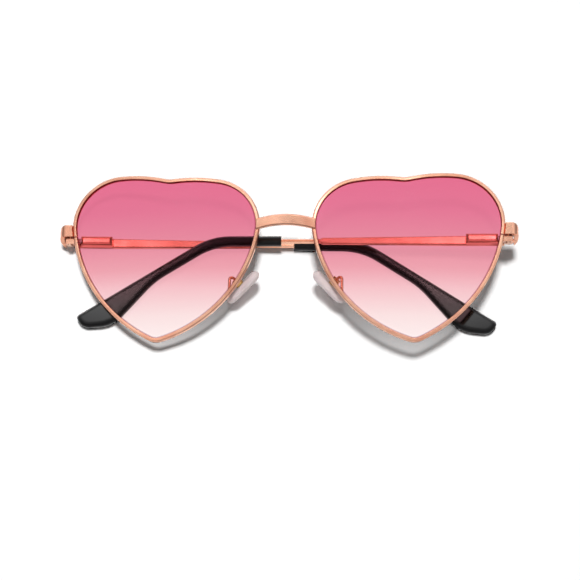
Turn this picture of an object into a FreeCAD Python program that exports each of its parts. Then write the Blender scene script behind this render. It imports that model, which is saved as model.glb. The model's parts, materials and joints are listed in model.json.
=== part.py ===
import FreeCAD, Part
import math
import os

# Heart shaped sunglasses with spring hinges, folded and lying on their temples. Lengths in millimetres,
# angles in degrees. The pieces are drawn in the frame of the front: X to the viewer's right, Y up the
# lenses, Z out of the lenses, with zero on the middle line at hinge level. Each left piece mirrors the
# right one. At the end everything is laid on its temples, with +Z up and zero under the middle.

# Whole front
overall_width = 145.0
rim_gap = 17.7
end_reach = 3.15
hinge_level = 7.6
wrap_angle = 4.0
eye_tilt = 3.5
pantoscopic_angle = 5.0
overrun = 1.0
wire_sides = 6
angle_tolerance = 1.0

# Heart outline, on the outside of the rim
heart_height = 53.8
lobe_share = 0.259
bottom_radius = 5.0
bottom_shift = 0.63
temporal_side_radius = 47.4
nasal_side_radius = 42.6
crown_radius = 50.0
crown_share = 0.173
cleft_radius = 8.0

# Rim and lens
base_curve_radius = 210.0
rim_width = 1.15
rim_depth = 1.9
rim_edge_chamfer = 0.35
rim_slit = 0.3
groove_width = 1.2
groove_depth = 0.4
lens_clearance = 0.04

# Bridge
bridge_level = 2.7
bridge_height = 3.5
bridge_thickness = 1.5
bridge_rise = 1.2
bridge_bow = 1.1
bridge_lap = 1.1
bridge_stand = 0.6
bridge_edge_chamfer = 0.4

# End piece
strip_thickness = 1.4
plate_height = 3.7
plate_rise = 2.0
wall_height = 4.6
corner_radius = 2.3
inner_corner_radius = 0.5
end_corner_radius = 1.9

# Closing blocks of the split rim, and their screw
block_height = 1.8
block_depth = 1.6
closing_screw_radius = 0.45
closing_head_radius = 0.8
closing_head_height = 0.5
screw_clearance = 0.02

# Hinge
hinge_inset = 3.0
hinge_setback = 3.2
knuckle_radius = 1.3
eye_height = 1.2
prong_height = 1.0
knuckle_clearance = 0.06
hinge_screw_radius = 0.6
hinge_head_radius = 1.05
hinge_head_height = 0.45
web_back = 0.4
wall_reach = 0.5
butt_gap = 0.5
running_clearance = 0.03
inner_fold_angle = -0.6
outer_fold_angle = 2.6

# Spring box, slider, spring and bush
box_length = 10.0
box_height = 3.2
box_thickness = 2.4
box_gap = 1.8
box_chamfer = 0.7
box_edge_radius = 1.0
box_end_wall = 0.8
shank_size = 1.2
shank_length = 3.0
guide_clearance = 0.05
rod_radius = 0.35
bore_radius = 0.95
bush_length = 0.6
rod_head_length = 0.5
rod_head_radius = 0.75
rod_end_room = 0.4
spring_turns = 4
spring_wire_radius = 0.15
spring_wire_sides = 4
spring_seat_gap = 0.05

# Temple arm and its core wire
arm_height = 3.1
arm_end_height = 2.1
arm_thickness = 1.3
core_run = 12.5
taper_start = 15.0
wire_radius = 0.8
core_setback = 9.0
arm_edge_chamfer = 0.3
hook_length = 55.0
bend_radius = 20.0
bend_angle = 33.0
temple_length = 142.5

# Temple tip
sleeve_length = 71.0
sleeve_height = 3.1
tip_height = 8.8
tip_end_height = 4.3
belly_setback = 8.5
flare_setback = 27.0
tip_thickness = 3.0
tip_edge_chamfer = 0.9
tip_clearance = 0.02
tip_lean = 0.5
toe_radius = 1.2
tip_end_radius = 4.0
belly_radius = 10.0
flare_radius = 25.0

# Nose pads
pad_pivot_shift = 2.4
pad_pivot_rise = 5.3
pad_pivot_setback = 4.5
pad_frontal_angle = 48.0
pad_vertical_angle = 14.0
pad_splay_angle = 25.0
pad_length = 13.5
pad_top_radius = 2.9
pad_bottom_radius = 3.8
pad_thickness = 2.6
pad_edge_chamfer = 0.9
pad_box_length = 2.6
pad_box_width = 2.8
pad_box_edge_chamfer = 0.35
pad_ear_back = 0.9
pad_slot_clearance = 0.1
pad_eye_radius = 0.8
pad_arm_radius = 0.5
pad_arm_bend_radius = 0.9
pad_arm_share = 0.47
pad_arm_drop = 2.4
pad_arm_loop = 2.4
pad_screw_radius = 0.3
pad_screw_head_radius = 0.55
pad_screw_head_height = 0.3

# How the folded object lies on its temples
rest_tilt = 6.87
rest_roll = 3.27

Vector = FreeCAD.Vector
Rotation = FreeCAD.Rotation
Placement = FreeCAD.Placement
zero = Vector(0, 0, 0)
x_axis = Vector(1, 0, 0)
y_axis = Vector(0, 1, 0)
z_axis = Vector(0, 0, 1)


def unit(vector):
    return Vector(vector).normalize()


def moved(shape, placement):
    return shape.transformed(placement.toMatrix(), copy=True)


def mirrored(shape):
    return shape.mirror(zero, x_axis)


def prism(points, sweep):
    """Solid between a straight sided outline and its copy moved along sweep."""
    return Part.Face(Part.makePolygon(points + points[:1])).extrude(sweep)


def block(low, high):
    size = high - low
    return Part.makeBox(size.x, size.y, size.z, low)


def rod(radius, start, end):
    return Part.makeCylinder(radius, (end - start).Length, start, end - start)


def bar(path, radius, sides):
    """Even sided bar along a path."""
    first = path.OrderedEdges[0]
    start = first.valueAt(first.FirstParameter)
    facing = Rotation(z_axis, first.tangentAt(first.FirstParameter))
    corners = []
    for side in range(sides):
        corner = Rotation(z_axis, 360 * (side + 1 / 2) / sides).multVec(x_axis * radius)
        corners.append(start + facing.multVec(corner))
    return path.makePipeShell([Part.makePolygon(corners + corners[:1])], True, False)


def rounded_path(points, radii):
    """Straight runs through the points, with a tangent arc at each inner point."""
    edges = []
    start = points[0]
    for before, corner, after, radius in zip(points, points[1:], points[2:], radii):
        back = unit(before - corner)
        ahead = unit(after - corner)
        reach = radius / math.tan(back.getAngle(ahead) / 2)
        middle = corner + unit(back + ahead) * (math.hypot(radius, reach) - radius)
        edges.append(Part.LineSegment(start, corner + back * reach).toShape())
        start = corner + ahead * reach
        edges.append(Part.Arc(corner + back * reach, middle, start).toShape())
    edges.append(Part.LineSegment(start, points[-1]).toShape())
    return edges


def face_edges(solid, surface_type):
    """Every edge of the faces of one kind, each once."""
    edges = {}
    for face in solid.Faces:
        if face.Surface.TypeId == surface_type:
            edges.update((edge.hashCode(), edge) for edge in face.Edges)
    return list(edges.values())


def parallel_edges(solid, direction):
    """Straight edges that run along a direction."""
    limit = math.cos(math.radians(angle_tolerance))
    found = []
    for edge in solid.Edges:
        if edge.Curve.TypeId == "Part::GeomLine":
            if abs(edge.tangentAt(edge.FirstParameter).dot(direction)) > limit:
                found.append(edge)
    return found


def outline_edges(solid):
    """Edges that leave square to Z, such as both outlines of an upright solid."""
    limit = math.sin(math.radians(angle_tolerance))
    return [edge for edge in solid.Edges if abs(edge.tangentAt(edge.FirstParameter).z) < limit]


# Heart outline as eight tangent arcs: two crowns, two lobes, the cleft, two sides and the rounded bottom
def enclosing_centre(first, first_radius, second, second_radius, radius, side):
    """Centre of a large arc that holds two circles and touches both."""
    first_reach = radius - first_radius
    second_reach = radius - second_radius
    span = second - first
    along = (first_reach ** 2 - second_reach ** 2 + span.Length ** 2) / (2 * span.Length)
    across = math.sqrt(first_reach ** 2 - along ** 2)
    return first + unit(span) * along + unit(z_axis.cross(span)) * (side * across)


heart_width = (overall_width - rim_gap) / 2 - end_reach
lobe_radius = lobe_share * heart_width
lobe_reach = heart_width / 2 - lobe_radius
crown_reach = crown_share * heart_width
crown_level = heart_height / 2 - crown_radius
lobe_level = crown_level + math.sqrt((crown_radius - lobe_radius) ** 2 - (lobe_reach - crown_reach) ** 2)
temporal_crown = Vector(crown_reach, crown_level, 0)
nasal_crown = Vector(-crown_reach, crown_level, 0)
temporal_lobe = Vector(lobe_reach, lobe_level, 0)
nasal_lobe = Vector(-lobe_reach, lobe_level, 0)
bottom = Vector(-bottom_shift, bottom_radius - heart_height / 2, 0)
temporal_centre = enclosing_centre(temporal_lobe, lobe_radius, bottom, bottom_radius,
                                   temporal_side_radius, -1)
nasal_centre = enclosing_centre(nasal_lobe, lobe_radius, bottom, bottom_radius, nasal_side_radius, 1)
cleft = Vector(0, crown_level + math.sqrt((crown_radius + cleft_radius) ** 2 - crown_reach ** 2), 0)

temporal_shoulder = unit(temporal_lobe - temporal_centre)
temporal_foot = unit(bottom - temporal_centre)
nasal_foot = unit(bottom - nasal_centre)
nasal_shoulder = unit(nasal_lobe - nasal_centre)
nasal_top = unit(nasal_lobe - nasal_crown)
temporal_top = unit(temporal_lobe - temporal_crown)
nasal_brow = unit(cleft - nasal_crown)
temporal_brow = unit(cleft - temporal_crown)


def arc(centre, radius, start, end):
    """Arc of under half a turn between two directions from its centre."""
    middle = unit(start + end)
    return Part.Arc(centre + start * radius, centre + middle * radius, centre + end * radius).toShape()


def heart_outline(grow):
    """Outline of the heart, grown outwards from the rim's outside."""
    return Part.Wire([
        arc(temporal_crown, crown_radius + grow, temporal_brow, temporal_top),
        arc(temporal_lobe, lobe_radius + grow, temporal_top, temporal_shoulder),
        arc(temporal_centre, temporal_side_radius + grow, temporal_shoulder, temporal_foot),
        arc(bottom, bottom_radius + grow, temporal_foot, nasal_foot),
        arc(nasal_centre, nasal_side_radius + grow, nasal_foot, nasal_shoulder),
        arc(nasal_lobe, lobe_radius + grow, nasal_shoulder, nasal_top),
        arc(nasal_crown, crown_radius + grow, nasal_top, nasal_brow),
        arc(cleft, cleft_radius - grow, -nasal_brow, -temporal_brow),
    ])


def heart_prism(grow):
    """Upright solid of the heart."""
    reach = heart_width / 4
    body = Part.Face(heart_outline(grow)).extrude(z_axis * (2 * reach))
    return moved(body, Placement(z_axis * -reach, Rotation()))


def curved(solid, thickness):
    """The layer of a solid within half a thickness of the base curve."""
    front = Part.makeSphere(base_curve_radius, z_axis * (thickness / 2 - base_curve_radius), -y_axis)
    back = Part.makeSphere(base_curve_radius, z_axis * (-thickness / 2 - base_curve_radius), -y_axis)
    return solid.common(front).cut(back)


eye_turn = Rotation(z_axis, eye_tilt)
eye_place = Placement(Vector((heart_width + rim_gap) / 2, -hinge_level, 0),
                      Rotation(y_axis, wrap_angle).multiply(eye_turn))


def eye_point(x, y, lift):
    """Point of the front that lies a lift in front of the base curve, from its place in the eye."""
    sag = base_curve_radius - math.sqrt(base_curve_radius ** 2 - x ** 2 - y ** 2)
    return eye_place.multVec(Vector(x, y, lift - sag))


def rim_point(level, side, lift):
    """Point on the outside of the rim at a level of the front, on the nose side or the temple side."""
    across = eye_turn.inverted().multVec(x_axis * side)
    start = eye_turn.inverted().multVec(y_axis * (level + hinge_level))
    line = Part.LineSegment(start, start + across * heart_width).toShape()
    found = heart_outline(0).distToShape(line)[1][0][0]
    return eye_point(found.x, found.y, lift)


temporal_rim = rim_point(0, 1, 0)


# Rim: a heart shaped ring on the base curve, with a lens groove and a slit at the closing blocks
def make_rim():
    plate = curved(heart_prism(0), rim_depth)
    plate = plate.makeChamfer(rim_edge_chamfer, face_edges(plate, "Part::GeomSphere"))
    groove = curved(heart_prism(groove_depth - rim_width), groove_width)
    ring = moved(plate.cut(heart_prism(-rim_width)).cut(groove), eye_place)
    slit = Vector(rim_width + overrun, rim_slit / 2, rim_depth)
    return ring.cut(block(temporal_rim - slit, temporal_rim + slit))


# Lens: a thin curved plate whose edge sits in the groove
def make_lens():
    outline = heart_prism(groove_depth - rim_width - lens_clearance)
    return moved(curved(outline, groove_width - 2 * lens_clearance), eye_place)


# Everything that the rim's front and outside keep clear of
def eye_envelope():
    ball = Part.makeSphere(base_curve_radius, z_axis * (rim_depth / 2 - base_curve_radius), -y_axis)
    return moved(heart_prism(0).common(ball), eye_place)


# Bridge: an arched and bowed band that laps onto the front of both rims
def band(half_span, end_middle, rise, thickness, across):
    """Face of an arched band from its middle line at the ends, its rise and its thickness along across."""
    side = x_axis * half_span
    ends = across * end_middle
    top = across * (end_middle + rise)
    half = across * (thickness / 2)
    return Part.Face(Part.Wire([
        Part.Arc(ends - side + half, top + half, ends + side + half).toShape(),
        Part.LineSegment(ends + side + half, ends + side - half).toShape(),
        Part.Arc(ends + side - half, top - half, ends - side - half).toShape(),
        Part.LineSegment(ends - side - half, ends - side + half).toShape(),
    ]))


nasal_rim = rim_point(bridge_level, -1, rim_depth / 2)


def make_bridge(envelope):
    half_span = nasal_rim.x + bridge_lap
    front_view = band(half_span, bridge_level, bridge_rise, bridge_height, y_axis)
    front_view.translate(z_axis * -heart_width)
    plan_middle = nasal_rim.z + bridge_stand - bridge_thickness / 2
    plan_view = band(half_span, plan_middle, bridge_bow, bridge_thickness, z_axis)
    plan_view.translate(y_axis * -heart_height)
    arch = front_view.extrude(z_axis * (2 * heart_width))
    body = arch.common(plan_view.extrude(y_axis * (2 * heart_height)))
    long_edges = [edge for edge in body.Edges if edge.Length > half_span]
    body = body.makeChamfer(bridge_edge_chamfer, long_edges)
    return body.cut(envelope).cut(mirrored(envelope))


# End piece: a strip that leaves the rim, turns back round a corner and drops to the hinge
wall_outside = overall_width / 2
wall_inside = wall_outside - strip_thickness
plate_back = temporal_rim.z
plate_front = plate_back + strip_thickness
pivot = Vector(wall_outside - hinge_inset, 0, temporal_rim.z - hinge_setback)
hinge_place = Placement(pivot, Rotation(x_axis, -pantoscopic_angle))
wall_end = pivot.z - wall_reach
prong_low = eye_height / 2 + knuckle_clearance
prong_high = prong_low + prong_height


def make_end_piece():
    inner_end = temporal_rim.x - rim_width
    reach = heart_height / 2
    outside = block(Vector(inner_end, -reach, wall_end), Vector(wall_outside, reach, plate_front))
    corner = [edge for edge in parallel_edges(outside, y_axis)
              if edge.CenterOfMass.isEqual(Vector(wall_outside, 0, plate_front), overrun / 2)]
    outside = outside.makeFillet(corner_radius, corner)
    inside = block(Vector(inner_end - overrun, -reach, wall_end - overrun),
                   Vector(wall_inside, reach, plate_back))
    corner = [edge for edge in parallel_edges(inside, y_axis)
              if edge.CenterOfMass.isEqual(Vector(wall_inside, 0, plate_back), overrun / 2)]
    inside = inside.makeFillet(inner_corner_radius, corner)
    side_view = prism([
        Vector(0, plate_rise - plate_height / 2, plate_front),
        Vector(0, plate_rise + plate_height / 2, plate_front),
        Vector(0, plate_rise + plate_height / 2, plate_back),
        Vector(0, wall_height / 2, wall_end),
        Vector(0, -wall_height / 2, wall_end),
        Vector(0, -wall_height / 2, pivot.z),
        Vector(0, plate_rise - plate_height / 2, plate_back),
    ], x_axis * overall_width)
    front_view = block(Vector(inner_end, -wall_height / 2, wall_end),
                       Vector(wall_outside, plate_rise + plate_height / 2, plate_front))
    corners = [edge for edge in parallel_edges(front_view, z_axis) if edge.CenterOfMass.x > wall_inside]
    front_view = front_view.makeFillet(end_corner_radius, corners)
    strip = outside.cut(inside).common(side_view).common(front_view)
    strip = strip.cut(moved(heart_prism(0), eye_place))
    for low, high in ((prong_low, prong_high), (-prong_high, -prong_low)):
        knuckle = rod(knuckle_radius, y_axis * low, y_axis * high)
        web_end = wall_inside - pivot.x + strip_thickness / 2
        web = block(Vector(0, low, -web_back), Vector(web_end, high, knuckle_radius))
        strip = strip.fuse(moved(knuckle.fuse(web), hinge_place))
    hole = rod(hinge_screw_radius + screw_clearance, y_axis * -plate_height, y_axis * plate_height)
    return strip.cut(moved(hole, hinge_place)).removeSplitter()


# Closing blocks: one above and one below the slit, pulled together by a screw from below
block_outside = wall_inside - inner_corner_radius
closing_axis = Vector((temporal_rim.x + block_outside) / 2, 0, plate_back - block_depth / 2)


def make_closing_block(low, high, envelope):
    inner = temporal_rim.x - rim_width
    body = block(Vector(inner, low, plate_back - block_depth),
                 Vector(block_outside, high, plate_back))
    hole = rod(closing_screw_radius + screw_clearance, closing_axis - y_axis * heart_height,
               closing_axis + y_axis * heart_height)
    return body.cut(envelope).cut(hole)


def make_closing_screw():
    under = closing_axis - y_axis * (rim_slit / 2 + block_height)
    top = closing_axis + y_axis * (rim_slit / 2 + block_height)
    shaft = rod(closing_screw_radius, under, top)
    head = rod(closing_head_radius, under - y_axis * closing_head_height, under)
    return shaft.fuse(head).removeSplitter()


# Hinge screw: the pin through both knuckles and the eye of the slider
def make_hinge_screw():
    shaft = rod(hinge_screw_radius, y_axis * -prong_high, y_axis * prong_high)
    head = rod(hinge_head_radius, y_axis * prong_high, y_axis * (prong_high + hinge_head_height))
    return moved(shaft.fuse(head).removeSplitter(), hinge_place)


# Temple frame: X along the temple from the pivot, Y along the pin, Z to the outer face
arm_inside = hinge_inset - arm_thickness
arm_middle = hinge_inset - arm_thickness / 2
box_start = knuckle_radius + box_gap
box_end = box_start + box_length
box_middle = arm_inside - box_thickness / 2
guide_end = box_start + shank_length
bush_end = guide_end + bush_length
bore_end = box_end - box_end_wall
rod_end = bore_end - rod_end_room
rod_head_start = rod_end - rod_head_length


def along(distance):
    """Point on the axis of the spring box."""
    return Vector(distance, 0, box_middle)


def make_slider():
    eye = rod(knuckle_radius, y_axis * (-eye_height / 2), y_axis * (eye_height / 2))
    half = Vector(0, shank_size / 2, shank_size / 2)
    shank = block(Vector(0, 0, box_middle) - half, along(guide_end - running_clearance) + half)
    stem = rod(rod_radius, along(box_start), along(rod_end))
    head = rod(rod_head_radius, along(rod_head_start), along(rod_end))
    hole = rod(hinge_screw_radius + running_clearance, y_axis * -eye_height, y_axis * eye_height)
    return eye.fuse([shank, stem, head]).cut(hole).removeSplitter()


def make_spring_box():
    low = Vector(box_start, -box_height / 2, arm_inside - box_thickness)
    body = block(low, Vector(box_end, box_height / 2, arm_inside))
    inner_ends = [edge for edge in body.Edges if edge.CenterOfMass.z < box_middle
                  and abs(edge.CenterOfMass.x - (box_start + box_end) / 2) > box_length / 4]
    body = body.makeChamfer(box_chamfer, [edge for edge in inner_ends if edge.Length > box_thickness])
    long_edges = [edge for edge in parallel_edges(body, x_axis) if edge.CenterOfMass.z < box_middle]
    body = body.makeFillet(box_edge_radius, long_edges)
    half = Vector(0, shank_size / 2 + guide_clearance, shank_size / 2 + guide_clearance)
    guide = block(along(box_start - overrun) - half, along(guide_end) + half)
    bore = rod(bore_radius, along(guide_end), along(bore_end))
    return body.cut(guide).cut(bore)


def make_bush():
    outside = rod(bore_radius - screw_clearance, along(guide_end), along(bush_end))
    inside = rod(rod_radius + guide_clearance, along(box_start), along(box_end))
    return outside.cut(inside)


# Spring: one wire in even turns round the rod, on half turn biarcs
def helix_point(turn, radius, start, pitch):
    angle = 2 * math.pi * turn
    return along(start + pitch * turn) + Vector(0, math.cos(angle), math.sin(angle)) * radius


def helix_direction(turn, radius, pitch):
    angle = 2 * math.pi * turn
    around = Vector(0, -math.sin(angle), math.cos(angle)) * (2 * math.pi * radius)
    return unit(around + x_axis * pitch)


def tangent_arc(start, corner, end):
    """Arc from start to end whose end tangents meet at the corner."""
    middle = (start + end) / 2
    half_chord = (end - start).Length / 2
    height = (corner - middle).Length
    sagitta = half_chord * math.tan(math.atan2(height, half_chord) / 2)
    return Part.Arc(start, middle + unit(corner - middle) * sagitta, end).toShape()


def biarc(start, start_direction, end, end_direction):
    """Two arcs that join smoothly and keep both end directions."""
    span = end - start
    both = start_direction + end_direction
    spread = 2 * (1 - start_direction.dot(end_direction))
    lean = span.dot(both)
    reach = (math.sqrt(lean ** 2 + spread * span.dot(span)) - lean) / spread
    first_corner = start + start_direction * reach
    last_corner = end - end_direction * reach
    joint = (first_corner + last_corner) / 2
    return [tangent_arc(start, first_corner, joint), tangent_arc(joint, last_corner, end)]


def make_spring():
    radius = (rod_radius + bore_radius) / 2
    start = bush_end + spring_seat_gap + spring_wire_radius
    end = rod_head_start - spring_seat_gap - spring_wire_radius
    pitch = (end - start) / spring_turns
    edges = []
    for half in range(2 * spring_turns):
        turn = half / 2
        after = (half + 1) / 2
        edges += biarc(helix_point(turn, radius, start, pitch), helix_direction(turn, radius, pitch),
                       helix_point(after, radius, start, pitch), helix_direction(after, radius, pitch))
    print("least gap between spring turns", round(pitch - 2 * spring_wire_radius, 3))
    return bar(Part.Wire(edges), spring_wire_radius, spring_wire_sides)


# Temple centre line: straight, then a bend down behind the ear, then straight again
bend_start = temple_length - hook_length
bend_length = math.radians(bend_angle) * bend_radius
bend_end = bend_start + bend_length
sleeve_start = temple_length - sleeve_length
flat_length = sleeve_start - core_run


def temple_line(length):
    """Point of the centre line at a length from the pivot, and the direction across it."""
    turn = min(max(length - bend_start, 0), bend_length) / bend_radius
    ahead = Vector(math.cos(turn), -math.sin(turn), 0)
    across = Vector(math.sin(turn), math.cos(turn), 0)
    straight = min(length, bend_start)
    bent = Vector(math.sin(turn), math.cos(turn) - 1, 0) * bend_radius
    return x_axis * straight + bent + ahead * max(length - bend_end, 0), across


lean_place = Placement(z_axis * arm_middle, Rotation(x_axis, tip_lean))


def core_wire(radius, start, end):
    """Bar on the temple's centre line."""
    path = Part.Wire([
        Part.LineSegment(temple_line(start)[0], temple_line(bend_start)[0]).toShape(),
        Part.Arc(temple_line(bend_start)[0], temple_line((bend_start + bend_end) / 2)[0],
                 temple_line(bend_end)[0]).toShape(),
        Part.LineSegment(temple_line(bend_end)[0], temple_line(end)[0]).toShape(),
    ])
    return moved(bar(path, radius, wire_sides), lean_place)


def make_temple_arm():
    start = wall_reach + butt_gap
    strip = prism([
        Vector(start, -arm_height / 2, arm_inside),
        Vector(taper_start, -arm_height / 2, arm_inside),
        Vector(flat_length, -arm_end_height / 2, arm_inside),
        Vector(flat_length, arm_end_height / 2, arm_inside),
        Vector(taper_start, arm_height / 2, arm_inside),
        Vector(start, arm_height / 2, arm_inside),
    ], z_axis * arm_thickness)
    strip = strip.makeFillet(arm_end_height / 2 - arm_edge_chamfer, [
        edge for edge in parallel_edges(strip, z_axis) if edge.CenterOfMass.x > taper_start + overrun])
    strip = strip.makeChamfer(arm_edge_chamfer, outline_edges(strip))
    core = core_wire(wire_radius, flat_length - arm_end_height, temple_length - core_setback)
    return strip.fuse(core).removeSplitter()


# Temple tip: a moulded sleeve over the core wire that widens downwards into a flat paddle
def paddle_point(setback, depth):
    """Point of the paddle from its setback from the end and its depth below the upper edge."""
    middle, across = temple_line(temple_length - setback)
    return middle + across * (sleeve_height / 2 - depth)


def make_temple_tip():
    half_turn = math.tan(math.radians(bend_angle / 2))
    knee = x_axis * (bend_start + bend_radius * half_turn)
    half_sleeve = (y_axis + x_axis * half_turn) * (sleeve_height / 2)
    upper_start = Vector(sleeve_start, sleeve_height / 2, 0)
    lower_start = Vector(sleeve_start, -sleeve_height / 2, 0)
    corners = [upper_start, knee + half_sleeve, paddle_point(0, 0), paddle_point(0, tip_end_height),
               paddle_point(belly_setback, tip_height), paddle_point(flare_setback, sleeve_height),
               knee - half_sleeve, lower_start]
    radii = [bend_radius, toe_radius, tip_end_radius, belly_radius, flare_radius, bend_radius]
    edges = rounded_path(corners, radii) + [Part.LineSegment(lower_start, upper_start).toShape()]
    body = Part.Face(Part.Wire(edges)).extrude(z_axis * tip_thickness)
    body.translate(z_axis * (-tip_thickness / 2))
    softened = [edge for edge in outline_edges(body)
                if edge.CenterOfMass.x > sleeve_start + tip_edge_chamfer]
    body = body.makeChamfer(tip_edge_chamfer, softened)
    bore_end = temple_length - core_setback + overrun
    bore = core_wire(wire_radius + tip_clearance, sleeve_start - overrun, bore_end)
    return moved(body, lean_place).cut(bore)


# Nose pads: X along the cross screw, Y up the pad, Z to the nose
pad_outward = unit(nasal_shoulder * (1 - pad_arm_share) + nasal_foot * pad_arm_share)
pad_foot = nasal_centre + pad_outward * (nasal_side_radius - rim_width / 2)
pad_root = eye_point(pad_foot.x, pad_foot.y, 0)
pad_pivot = pad_root + Vector(-pad_pivot_shift, pad_pivot_rise, -pad_pivot_setback)
pad_turn = Rotation(z_axis, pad_frontal_angle).multiply(Rotation(x_axis, pad_vertical_angle))
pad_place = Placement(pad_pivot, pad_turn.multiply(Rotation(y_axis, -90 - pad_splay_angle)))
pad_slot = 2 * (pad_arm_radius + pad_slot_clearance)
pad_floor = pad_eye_radius + pad_slot_clearance
pad_seat = pad_floor + pad_box_edge_chamfer


def make_nose_pad():
    top = Vector(0, pad_length / 2 - pad_top_radius, pad_seat)
    low = Vector(0, pad_bottom_radius - pad_length / 2, pad_seat)
    side_angle = math.asin((pad_bottom_radius - pad_top_radius) / (top - low).Length)
    right = Vector(math.cos(side_angle), math.sin(side_angle), 0)
    left = Vector(-math.cos(side_angle), math.sin(side_angle), 0)
    outline = Part.Wire([
        Part.Arc(top + right * pad_top_radius, top + y_axis * pad_top_radius,
                 top + left * pad_top_radius).toShape(),
        Part.LineSegment(top + left * pad_top_radius, low + left * pad_bottom_radius).toShape(),
        Part.Arc(low + left * pad_bottom_radius, low - y_axis * pad_bottom_radius,
                 low + right * pad_bottom_radius).toShape(),
        Part.LineSegment(low + right * pad_bottom_radius, top + right * pad_top_radius).toShape(),
    ])
    body = Part.Face(outline).extrude(z_axis * pad_thickness)
    return moved(body.makeChamfer(pad_edge_chamfer, outline_edges(body)), pad_place)


def make_pad_box():
    half = Vector(pad_box_width / 2, pad_box_length / 2, 0)
    body = block(-half - z_axis * pad_ear_back, half + z_axis * pad_seat)
    body = body.makeChamfer(pad_box_edge_chamfer, parallel_edges(body, z_axis))
    slot = block(Vector(-pad_slot / 2, -pad_box_length, -pad_ear_back - overrun),
                 Vector(pad_slot / 2, pad_box_length, pad_floor))
    hole = rod(pad_screw_radius + screw_clearance, x_axis * -pad_box_width, x_axis * pad_box_width)
    return moved(body.cut(slot).cut(hole), pad_place)


def make_pad_screw():
    end = x_axis * (pad_box_width / 2)
    shaft = rod(pad_screw_radius, -end, end)
    head = rod(pad_screw_head_radius, end, end + x_axis * pad_screw_head_height)
    return moved(shaft.fuse(head).removeSplitter(), pad_place)


# Pad arm: a wire from the back of the rim, looped back to an eye between the ears of the pad box
def make_pad_arm():
    back = eye_point(pad_foot.x, pad_foot.y, -pad_arm_drop)
    leave = pad_place.multVec(z_axis * -(pad_eye_radius + pad_arm_loop))
    path = Part.Wire(rounded_path([pad_root, back, leave, pad_pivot], [pad_arm_bend_radius] * 2))
    wire = bar(path, pad_arm_radius, wire_sides)
    eye = rod(pad_eye_radius, x_axis * -pad_arm_radius, x_axis * pad_arm_radius)
    hole = rod(pad_screw_radius + running_clearance, x_axis * -pad_box_width, x_axis * pad_box_width)
    wire = wire.fuse(moved(eye, pad_place)).cut(moved(hole, pad_place))
    return wire.cut(moved(curved(heart_prism(0), rim_depth), eye_place)).removeSplitter()


# Both sides of the object
envelope = eye_envelope()
nodes = {}


def add_pair(name, right):
    nodes[name + "_right"] = right
    nodes[name + "_left"] = mirrored(right)


block_low = rim_slit / 2
block_high = rim_slit / 2 + block_height
add_pair("rim", make_rim())
add_pair("lens", make_lens())
nodes["bridge"] = make_bridge(envelope)
add_pair("end_piece", make_end_piece())
add_pair("closing_block_upper", make_closing_block(block_low, block_high, envelope))
add_pair("closing_block_lower", make_closing_block(-block_high, -block_low, envelope))
add_pair("pad_arm", make_pad_arm())
add_pair("nose_pad", make_nose_pad())
add_pair("pad_box", make_pad_box())
add_pair("pad_screw", make_pad_screw())
for name, screw in (("closing_screws", make_closing_screw()), ("hinge_screws", make_hinge_screw())):
    nodes[name] = Part.makeCompound([screw, mirrored(screw)])

# Temples folded behind the front, the right one first and the left one over it
temple_pieces = {
    "hinge_slider": make_slider(),
    "spring_box": make_spring_box(),
    "spring_bush": make_bush(),
    "hinge_spring": make_spring(),
    "temple_arm": make_temple_arm(),
    "temple_tip": make_temple_tip(),
}
inner_fold = hinge_place.multiply(Placement(zero, Rotation(y_axis, 180 - inner_fold_angle)))
outer_fold = hinge_place.multiply(Placement(zero, Rotation(y_axis, 180 - outer_fold_angle)))
for name, piece in temple_pieces.items():
    nodes[name + "_right"] = moved(piece, inner_fold)
    nodes[name + "_left"] = mirrored(moved(piece, outer_fold))

# Lay the object down: tilt the top up, roll onto the thicker side, then stand it over zero
lying = Placement(zero, Rotation(y_axis, -rest_roll).multiply(Rotation(x_axis, rest_tilt)))
laid = Part.makeCompound([moved(piece, lying) for piece in nodes.values()])
box = laid.optimalBoundingBox(False, False)
rest_place = Placement(Vector(-box.Center.x, -box.Center.y, -box.ZMin), Rotation()).multiply(lying)

os.makedirs("parts", exist_ok=True)
for name, piece in nodes.items():
    moved(piece, rest_place).exportStep("parts/" + name + ".step")
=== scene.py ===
import json
import math
import bpy
from mathutils import Matrix, Vector


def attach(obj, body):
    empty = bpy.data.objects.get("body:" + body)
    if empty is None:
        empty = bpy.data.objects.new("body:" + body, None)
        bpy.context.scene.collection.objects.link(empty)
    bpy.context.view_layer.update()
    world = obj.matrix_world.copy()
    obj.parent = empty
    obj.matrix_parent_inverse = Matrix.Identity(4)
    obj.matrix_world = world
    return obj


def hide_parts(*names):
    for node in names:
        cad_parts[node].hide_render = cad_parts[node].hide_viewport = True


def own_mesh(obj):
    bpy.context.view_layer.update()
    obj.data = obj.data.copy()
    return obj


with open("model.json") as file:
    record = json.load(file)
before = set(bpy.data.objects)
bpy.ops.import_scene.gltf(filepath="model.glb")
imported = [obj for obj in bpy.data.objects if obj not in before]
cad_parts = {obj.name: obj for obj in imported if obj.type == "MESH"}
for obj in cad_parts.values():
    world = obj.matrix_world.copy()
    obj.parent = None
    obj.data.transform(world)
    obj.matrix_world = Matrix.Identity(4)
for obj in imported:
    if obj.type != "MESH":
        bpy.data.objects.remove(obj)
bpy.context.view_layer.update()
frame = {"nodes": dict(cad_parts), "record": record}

# Camera: where the photograph was taken from, in degrees, metres and pixels of its square frame
photo_size = 580
view_azimuth = 3.22
view_elevation = 68.22
view_roll = -2.03
view_distance = 0.430
focal_pixels = 1343
aim_shift_right = -3.2
aim_shift_down = -19.5
sensor_millimetres = 36

# Lamps, in metres and watts
key_direction = Vector((0.0, 0.12, 1.0))
key_distance = 1.2
key_size = 0.2
key_power = 13.8
fill_direction = Vector((-0.5, -0.6, 0.9))
fill_distance = 1.1
fill_size = 0.9
fill_power = 1.0

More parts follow.
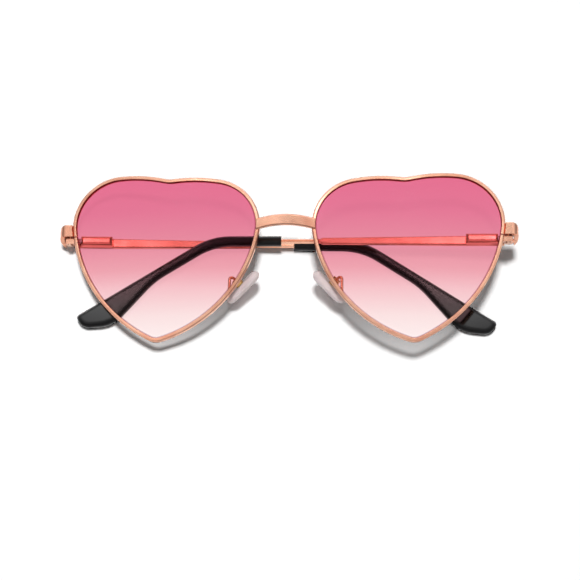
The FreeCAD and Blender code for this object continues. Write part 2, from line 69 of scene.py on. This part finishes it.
# World: strengths of its parts, and how far from its middle a mirrored window is full and ends, in degrees
ambient_strength = 0.12
horizon_strength = 0.25
shoulder_strength = 1.2
zenith_strength = 0.8
softbox_strength = 2.0
window_strength = 8.0
window_directions = Vector((0.08, 0.35, 0.935)), Vector((-0.235, 0.345, 0.907))
window_core = 1.0
window_reach = 4.5

# Floor: side, and the distances from the object between which it fades to white, in metres
floor_size = 6.0
fade_start = 0.12
fade_end = 0.28
floor_roughness = 0.7
floor_specular = 0.1

# Lens: shares of light that each face passes to the shadow, the height where the upper share is reached,
# how much of the shadow is left out where the floor is seen through it, and the skin
top_shade = 0.2
bottom_shade = 0.7
top_shade_height = 0.45
lens_veil = 0.92
lens_roughness = 0.12
lens_ior = 1.07
# Reach and samples of the painted shade where the lens meets the rim
rim_shade_reach = 0.0006
rim_shade_samples = 8

# Other surfaces, in metres
edge_samples = 6
grain_height = 0.00005
polish_change = 0.06
tip_edge_radius = 0.0012
tip_specular = 0.25
silicone_share = 0.62
silicone_scatter = 0.35
silicone_radius = (0.0015, 0.0012, 0.0011)

# Nose pads: size of the cells that they are drawn from, in metres, and how they are eased
pad_voxel = 0.0002
pad_rounds = 14
pad_easing = 0.5


# Colours
def srgb(red, green, blue):
    """Linear colour of an 8 bit screen colour."""
    shares = [value / 255 for value in (red, green, blue)]
    return tuple(s / 12.92 if s < 0.04045 else ((s + 0.055) / 1.055) ** 2.4 for s in shares) + (1.0,)


def one_face(red, green, blue):
    """Colour that gives the stated screen colour when it is passed twice, at both faces of the lens."""
    return tuple(math.sqrt(value) for value in srgb(red, green, blue))


def grey(strength):
    """Colour with one strength for red, green and blue."""
    return (strength, strength, strength, 1.0)


white = grey(1.0)
black = grey(0.0)


# Nodes
def feed(tree, value, socket):
    """Give an input its value, which is another socket or plain."""
    if isinstance(value, bpy.types.NodeSocket):
        tree.links.new(value, socket)
    else:
        socket.default_value = value


def noise(tree, scale, detail):
    """Noise in the object's own space, with scale in features to a metre."""
    place = tree.nodes.new("ShaderNodeTexCoord")
    texture = tree.nodes.new("ShaderNodeTexNoise")
    texture.inputs["Scale"].default_value = scale
    texture.inputs["Detail"].default_value = detail
    tree.links.new(place.outputs["Object"], texture.inputs["Vector"])
    return texture.outputs["Fac"]


def own_axes(tree):
    """Place in the object's box, or direction in the world, and its three axes."""
    place = tree.nodes.new("ShaderNodeTexCoord").outputs["Generated"]
    axes = tree.nodes.new("ShaderNodeSeparateXYZ")
    tree.links.new(place, axes.inputs["Vector"])
    return place, axes.outputs


def spread(tree, value, low, high, start=0.0, end=1.0):
    """A value from start to end as one from low to high."""
    node = tree.nodes.new("ShaderNodeMapRange")
    node.inputs["From Min"].default_value = start
    node.inputs["From Max"].default_value = end
    node.inputs["To Min"].default_value = low
    node.inputs["To Max"].default_value = high
    tree.links.new(value, node.inputs["Value"])
    return node.outputs["Result"]


def ramp(tree, value, stops):
    """Colour at a value from 0 to 1, between stops of (place, colour)."""
    node = tree.nodes.new("ShaderNodeValToRGB")
    elements = node.color_ramp.elements
    while len(elements) < len(stops):
        elements.new(0.5)
    for element, (place, colour) in zip(elements, stops):
        element.position = place
        element.color = colour
    tree.links.new(value, node.inputs["Fac"])
    return node.outputs["Color"]


def combine(tree, operation, first, second):
    """Result of a calculation with two numbers."""
    node = tree.nodes.new("ShaderNodeMath")
    node.operation = operation
    feed(tree, first, node.inputs[0])
    feed(tree, second, node.inputs[1])
    return node.outputs["Value"]


def blend(tree, share, first, second, mode="MIX"):
    """Colour between two."""
    node = tree.nodes.new("ShaderNodeMixRGB")
    node.blend_type = mode
    feed(tree, share, node.inputs["Fac"])
    feed(tree, first, node.inputs["Color1"])
    feed(tree, second, node.inputs["Color2"])
    return node.outputs["Color"]


def mix_shaders(tree, share, first, second=None):
    """Shader between two, or between one and none."""
    node = tree.nodes.new("ShaderNodeMixShader")
    feed(tree, share, node.inputs["Fac"])
    tree.links.new(first, node.inputs[1])
    if second is not None:
        tree.links.new(second, node.inputs[2])
    return node.outputs["Shader"]


def add_shaders(tree, first, second):
    node = tree.nodes.new("ShaderNodeAddShader")
    tree.links.new(first, node.inputs[0])
    tree.links.new(second, node.inputs[1])
    return node.outputs["Shader"]


def soft_surface(tree, edge_radius, grain, depth):
    """Normal with eased edges and a fine grain."""
    bevel = tree.nodes.new("ShaderNodeBevel")
    bevel.samples = edge_samples
    bevel.inputs["Radius"].default_value = edge_radius
    bump = tree.nodes.new("ShaderNodeBump")
    bump.inputs["Strength"].default_value = depth
    bump.inputs["Distance"].default_value = grain_height
    tree.links.new(noise(tree, grain, detail=3), bump.inputs["Height"])
    tree.links.new(bevel.outputs["Normal"], bump.inputs["Normal"])
    return bump.outputs["Normal"]


# Materials
def new_material(name):
    material = bpy.data.materials.new(name)
    material.use_nodes = True
    tree = material.node_tree
    return material, tree, tree.nodes["Principled BSDF"]


def show(tree, shader):
    """Make a shader the surface of its material."""
    tree.links.new(shader, tree.nodes["Material Output"].inputs["Surface"])


def metal(name, dark, light, roughness, edge_radius):
    """Plated metal with a slight change of tone and polish along it."""
    material, tree, shader = new_material(name)
    shader.inputs["Metallic"].default_value = 1.0
    tone = ramp(tree, noise(tree, scale=160, detail=2), [(0.3, dark), (0.7, light)])
    tree.links.new(tone, shader.inputs["Base Color"])
    polish = spread(tree, noise(tree, scale=900, detail=4),
                    low=roughness * (1 - polish_change), high=roughness * (1 + polish_change))
    tree.links.new(polish, shader.inputs["Roughness"])
    tree.links.new(soft_surface(tree, edge_radius, grain=5000, depth=0.012), shader.inputs["Normal"])
    return material


def tinted_lens():
    """Clear tint that fades to the bottom, with painted shade in deep red where the lens meets the rim, and
    a glossy skin.
    """
    material, tree, shader = new_material("tinted_lens")
    tree.nodes.remove(shader)
    height = own_axes(tree)[1]["Y"]
    tint = ramp(tree, height, [
        (0.0, one_face(254, 240, 239)), (0.14, one_face(251, 226, 226)), (0.3, one_face(246, 196, 202)),
        (0.42, one_face(238, 164, 176)), (0.58, one_face(231, 140, 160)), (0.78, one_face(228, 120, 150)),
        (1.0, one_face(230, 113, 146))])
    # Painted shade: a short occlusion darkens the lens to deep red where it meets the rim
    rim_shade_ao = tree.nodes.new("ShaderNodeAmbientOcclusion")
    rim_shade_ao.samples = rim_shade_samples
    rim_shade_ao.inputs["Distance"].default_value = rim_shade_reach
    painted_rim_shade = ramp(tree, rim_shade_ao.outputs["AO"], [(0.55, one_face(120, 30, 45)), (0.95, white)])
    colour = blend(tree, 1.0, tint, painted_rim_shade, "MULTIPLY")
    # The lens shades the floor beside it, less to the bottom
    path = tree.nodes.new("ShaderNodeLightPath").outputs
    shade = ramp(tree, height, [(0.0, grey(bottom_shade)), (top_shade_height, grey(top_shade))])
    colour = blend(tree, path["Is Shadow Ray"], colour, shade)
    # What is seen through both its faces isn't tinted again by the light that comes in through it
    seen_through = combine(tree, "GREATER_THAN", path["Transparent Depth"], 1.5)
    unseen = spread(tree, path["Is Camera Ray"], low=1.0, high=0.0)
    colour = blend(tree, combine(tree, "MULTIPLY", seen_through, unseen), colour, white)
    colour = blend(tree, path["Is Diffuse Ray"], colour, white)
    clear = tree.nodes.new("ShaderNodeBsdfTransparent")
    tree.links.new(colour, clear.inputs["Color"])
    gloss = tree.nodes.new("ShaderNodeBsdfGlossy")
    gloss.inputs["Roughness"].default_value = lens_roughness
    fresnel = tree.nodes.new("ShaderNodeFresnel")
    fresnel.inputs["IOR"].default_value = lens_ior
    face = tree.nodes.new("ShaderNodeNewGeometry")
    outside = spread(tree, face.outputs["Backfacing"], low=1.0, high=0.0)
    mirrored = combine(tree, "MULTIPLY", fresnel.outputs["Fac"], outside)
    show(tree, mix_shaders(tree, mirrored, clear.outputs["BSDF"], gloss.outputs["BSDF"]))
    return material


def black_tip():
    """Glossy moulded black with a faint ripple."""
    material, tree, shader = new_material("black_tip")
    tone = ramp(tree, noise(tree, scale=220, detail=2), [(0.35, srgb(4, 4, 5)), (0.75, srgb(10, 9, 10))])
    tree.links.new(tone, shader.inputs["Base Color"])
    polish = spread(tree, noise(tree, scale=700, detail=3), low=0.082, high=0.098)
    tree.links.new(polish, shader.inputs["Roughness"])
    tree.links.new(soft_surface(tree, tip_edge_radius, grain=260, depth=0.004), shader.inputs["Normal"])
    shader.inputs["Specular IOR Level"].default_value = tip_specular
    return material


def clear_silicone():
    """Milky soft plastic that lets some of what is behind it show."""
    material, tree, shader = new_material("clear_silicone")
    tone = ramp(tree, noise(tree, scale=300, detail=2),
                [(0.3, srgb(212, 197, 199)), (0.7, srgb(232, 220, 221))])
    tree.links.new(tone, shader.inputs["Base Color"])
    polish = spread(tree, noise(tree, scale=1500, detail=3), low=0.12, high=0.2)
    tree.links.new(polish, shader.inputs["Roughness"])
    shader.inputs["Subsurface Weight"].default_value = silicone_scatter
    shader.inputs["Subsurface Radius"].default_value = silicone_radius
    clear = tree.nodes.new("ShaderNodeBsdfTransparent")
    clear.inputs["Color"].default_value = srgb(246, 240, 239)
    show(tree, mix_shaders(tree, silicone_share, clear.outputs["BSDF"], shader.outputs["BSDF"]))
    return material


materials = {
    "rose_gold": metal("rose_gold", dark=srgb(224, 157, 130), light=srgb(243, 188, 160),
                       roughness=0.18, edge_radius=0.0004),
    "gold_plate": metal("gold_plate", dark=srgb(206, 160, 96), light=srgb(226, 186, 124),
                        roughness=0.2, edge_radius=0.0002),
    "screw_metal": metal("screw_metal", dark=srgb(205, 160, 138), light=srgb(228, 190, 168),
                         roughness=0.26, edge_radius=0.0001),
    "spring_steel": metal("spring_steel", dark=srgb(168, 168, 172), light=srgb(200, 200, 204),
                          roughness=0.3, edge_radius=0.0001),
    "tinted_lens": tinted_lens(),
    "black_tip": black_tip(),
    "clear_silicone": clear_silicone(),
}
for row in frame["record"]["subparts"]:
    mesh = frame["nodes"][row["node"]].data
    mesh.materials.clear()
    mesh.materials.append(materials[row["material_slot"]])


# Pieces that take the place of solids
def soft_pad(side):
    """Nose pad with eased edges, drawn from the space that the solid pad holds."""
    solid = frame["nodes"]["nose_pad_" + side]
    draft = bpy.data.objects.new("pad_draft", solid.data.copy())
    bpy.context.scene.collection.objects.link(draft)
    remesh = draft.modifiers.new("even", "REMESH")
    remesh.mode = "VOXEL"
    remesh.voxel_size = pad_voxel
    smooth = draft.modifiers.new("soften", "SMOOTH")
    smooth.factor = pad_easing
    smooth.iterations = pad_rounds
    shaped = draft.evaluated_get(bpy.context.evaluated_depsgraph_get())
    mesh = bpy.data.meshes.new_from_object(shaped)
    bpy.data.objects.remove(draft)
    mesh.name = "soft_pad_" + side
    mesh.materials.clear()
    mesh.materials.append(materials["clear_silicone"])
    mesh.polygons.foreach_set("use_smooth", [True] * len(mesh.polygons))
    pad = bpy.data.objects.new("soft_pad_" + side, mesh)
    bpy.context.scene.collection.objects.link(pad)
    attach(pad, "pad_" + side)
    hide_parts("nose_pad_" + side)


def live_spring(side):
    """Own copy of the hinge spring, which rides with its temple in place of the solid spring."""
    mesh = frame["nodes"]["hinge_spring_" + side].data.copy()
    spring = bpy.data.objects.new("live_spring_" + side, mesh)
    bpy.context.scene.collection.objects.link(spring)
    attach(spring, "temple_" + side)
    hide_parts("hinge_spring_" + side)
    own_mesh(spring)


for side in ("left", "right"):
    soft_pad(side)
    live_spring(side)


# Floor
def floor_material():
    """Pale floor that fades to plain white far off, with faint shadows where it is seen through a lens.

    To the eye it only takes from the white behind it what the shadow takes, so that a temple that opens
    below it shows. From below it is clear.
    """
    material, tree, shader = new_material("pale_floor")
    material.cycles.emission_sampling = "NONE"
    tone = ramp(tree, noise(tree, scale=3, detail=2),
                [(0.0, srgb(247, 247, 247)), (1.0, srgb(250, 250, 250))])
    tree.links.new(tone, shader.inputs["Base Color"])
    shader.inputs["Roughness"].default_value = floor_roughness
    shader.inputs["Specular IOR Level"].default_value = floor_specular
    lit = shader.outputs["BSDF"]
    path = tree.nodes.new("ShaderNodeLightPath").outputs
    through = spread(tree, path["Transparent Depth"], low=0.0, high=lens_veil)
    place = tree.nodes.new("ShaderNodeTexCoord")
    distance = tree.nodes.new("ShaderNodeVectorMath")
    distance.operation = "LENGTH"
    tree.links.new(place.outputs["Object"], distance.inputs[0])
    far = spread(tree, distance.outputs["Value"], low=0.0, high=1.0, start=fade_start, end=fade_end)
    white_share = combine(tree, "MAXIMUM", through, far)
    taken = tree.nodes.new("ShaderNodeEmission")
    taken.inputs["Strength"].default_value = -1.0
    shadow = mix_shaders(tree, white_share, add_shaders(tree, lit, taken.outputs["Emission"]))
    clear = tree.nodes.new("ShaderNodeBsdfTransparent").outputs["BSDF"]
    top = mix_shaders(tree, path["Is Camera Ray"], lit, add_shaders(tree, shadow, clear))
    face = tree.nodes.new("ShaderNodeNewGeometry")
    show(tree, mix_shaders(tree, face.outputs["Backfacing"], top, clear))
    return material


def make_floor():
    half = floor_size / 2
    corners = [(-half, -half, 0), (half, -half, 0), (half, half, 0), (-half, half, 0)]
    mesh = bpy.data.meshes.new("floor")
    mesh.from_pydata(corners, [], [(0, 1, 2, 3)])
    mesh.materials.append(floor_material())
    floor = bpy.data.objects.new("floor", mesh)
    bpy.context.scene.collection.objects.link(floor)


make_floor()


# Light
def area_light(name, direction, distance, size, power):
    """Square lamp that faces the object, and that polished faces don't mirror."""
    light = bpy.data.lights.new(name, "AREA")
    light.size = size
    light.energy = power
    lamp = bpy.data.objects.new(name, light)
    lamp.location = direction.normalized() * distance
    lamp.rotation_euler = direction.to_track_quat("Z", "Y").to_euler()
    lamp.visible_glossy = False
    bpy.context.scene.collection.objects.link(lamp)


def studio_world():
    """White to the eye, a bright sky with a softbox and two windows in reflections, and dim for the rest."""
    world = bpy.data.worlds.new("studio")
    world.use_nodes = True
    tree = world.node_tree
    path = tree.nodes.new("ShaderNodeLightPath").outputs
    direction, axes = own_axes(tree)
    sky = ramp(tree, axes["Z"], [(0.25, grey(horizon_strength)), (0.8, white),
                                 (0.92, grey(shoulder_strength)), (0.98, grey(zenith_strength))])
    behind = ramp(tree, axes["Y"], [(0.6, black), (0.8, white)])
    level = ramp(tree, axes["Z"], [(0.05, black), (0.2, white), (0.45, white), (0.6, black)])
    softbox = blend(tree, 1.0, behind, level, "MULTIPLY")
    sky = blend(tree, softbox, sky, grey(softbox_strength))
    full, edge = (math.cos(math.radians(angle)) for angle in (window_core, window_reach))
    for window_direction in window_directions:
        nearness = tree.nodes.new("ShaderNodeVectorMath")
        nearness.operation = "DOT_PRODUCT"
        nearness.inputs[1].default_value = window_direction.normalized()
        tree.links.new(direction, nearness.inputs[0])
        window = spread(tree, nearness.outputs["Value"], low=0.0, high=1.0, start=edge, end=full)
        sky = blend(tree, window, sky, grey(window_strength))
    colour = blend(tree, path["Is Glossy Ray"], grey(ambient_strength), sky)
    colour = blend(tree, path["Is Camera Ray"], colour, white)
    tree.links.new(colour, tree.nodes["Background"].inputs["Color"])
    bpy.context.scene.world = world


area_light("key", key_direction, key_distance, key_size, key_power)
area_light("fill", fill_direction, fill_distance, fill_size, fill_power)
studio_world()
bpy.context.scene.view_settings.view_transform = "Standard"


# Camera
def make_camera():
    data = bpy.data.cameras.new("camera")
    data.sensor_width = sensor_millimetres
    data.lens = focal_pixels / photo_size * sensor_millimetres
    data.shift_x = -aim_shift_right / photo_size
    data.shift_y = aim_shift_down / photo_size
    azimuth = math.radians(view_azimuth)
    elevation = math.radians(view_elevation)
    back = Vector((math.sin(azimuth) * math.cos(elevation), -math.cos(azimuth) * math.cos(elevation),
                   math.sin(elevation)))
    camera = bpy.data.objects.new("camera", data)
    turn = back.to_track_quat("Z", "Y").to_matrix() @ Matrix.Rotation(math.radians(view_roll), 3, "Z")
    camera.matrix_world = Matrix.Translation(back * view_distance) @ turn.to_4x4()
    bpy.context.scene.collection.objects.link(camera)
    bpy.context.scene.camera = camera


make_camera()
